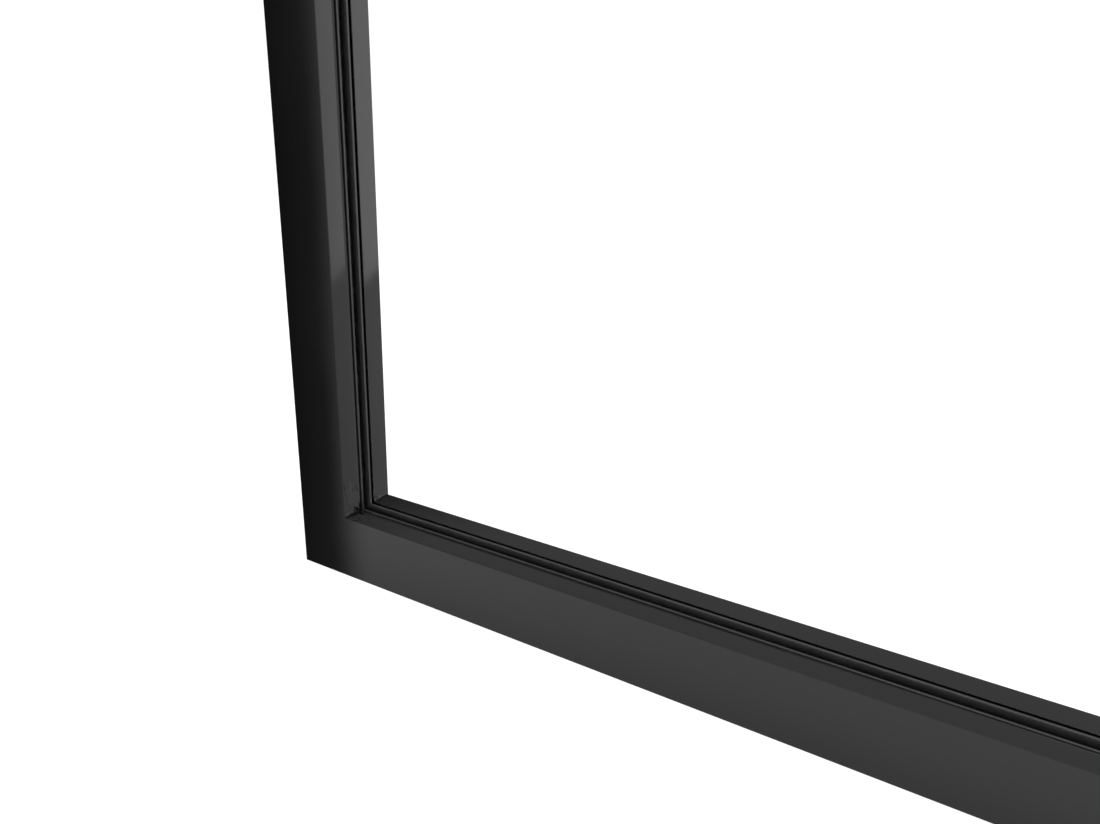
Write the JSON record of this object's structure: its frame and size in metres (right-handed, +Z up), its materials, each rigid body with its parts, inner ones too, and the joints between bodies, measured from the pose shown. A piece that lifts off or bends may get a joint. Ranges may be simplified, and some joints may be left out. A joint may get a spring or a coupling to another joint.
{
  "type": "interior glass partition",
  "caption": "Fixed interior glass partition panel: a dark powder coated frame of hollow mitred members around a clear pane, held by gaskets and snap-in glazing beads.",
  "frame": {"origin": "middle of the face that stands on the floor", "axes": "+X to the right seen from the front, +Y to the back, +Z up; the front face looks towards -Y"},
  "size_m": [1, 0.056, 2.4],
  "materials": {
    "frame": "satin anthracite powder coat on extruded aluminium",
    "gasket": "matt black extruded rubber",
    "glass": "clear polished glass with ground edges",
    "block": "matt moulded plastic",
    "cleat": "mill finish, sawn ends"
  },
  "bodies": {
    "root": {"rail_bottom": "frame", "rail_top": "frame", "stile_left": "frame", "stile_right": "frame", "bead_bottom": "frame", "bead_top": "frame", "bead_left": "frame", "bead_right": "frame", "front_gasket_bottom": "gasket", "rear_gasket_bottom": "gasket", "front_gasket_top": "gasket", "rear_gasket_top": "gasket", "front_gasket_left": "gasket", "rear_gasket_left": "gasket", "front_gasket_right": "gasket", "rear_gasket_right": "gasket", "glass_pane": "glass", "setting_blocks_bottom": "block", "location_blocks_top": "block", "location_blocks_left": "block", "location_blocks_right": "block", "corner_cleat_bottom_left": "cleat", "corner_cleat_bottom_right": "cleat", "corner_cleat_top_left": "cleat", "corner_cleat_top_right": "cleat"}
  },
  "joints": []
}
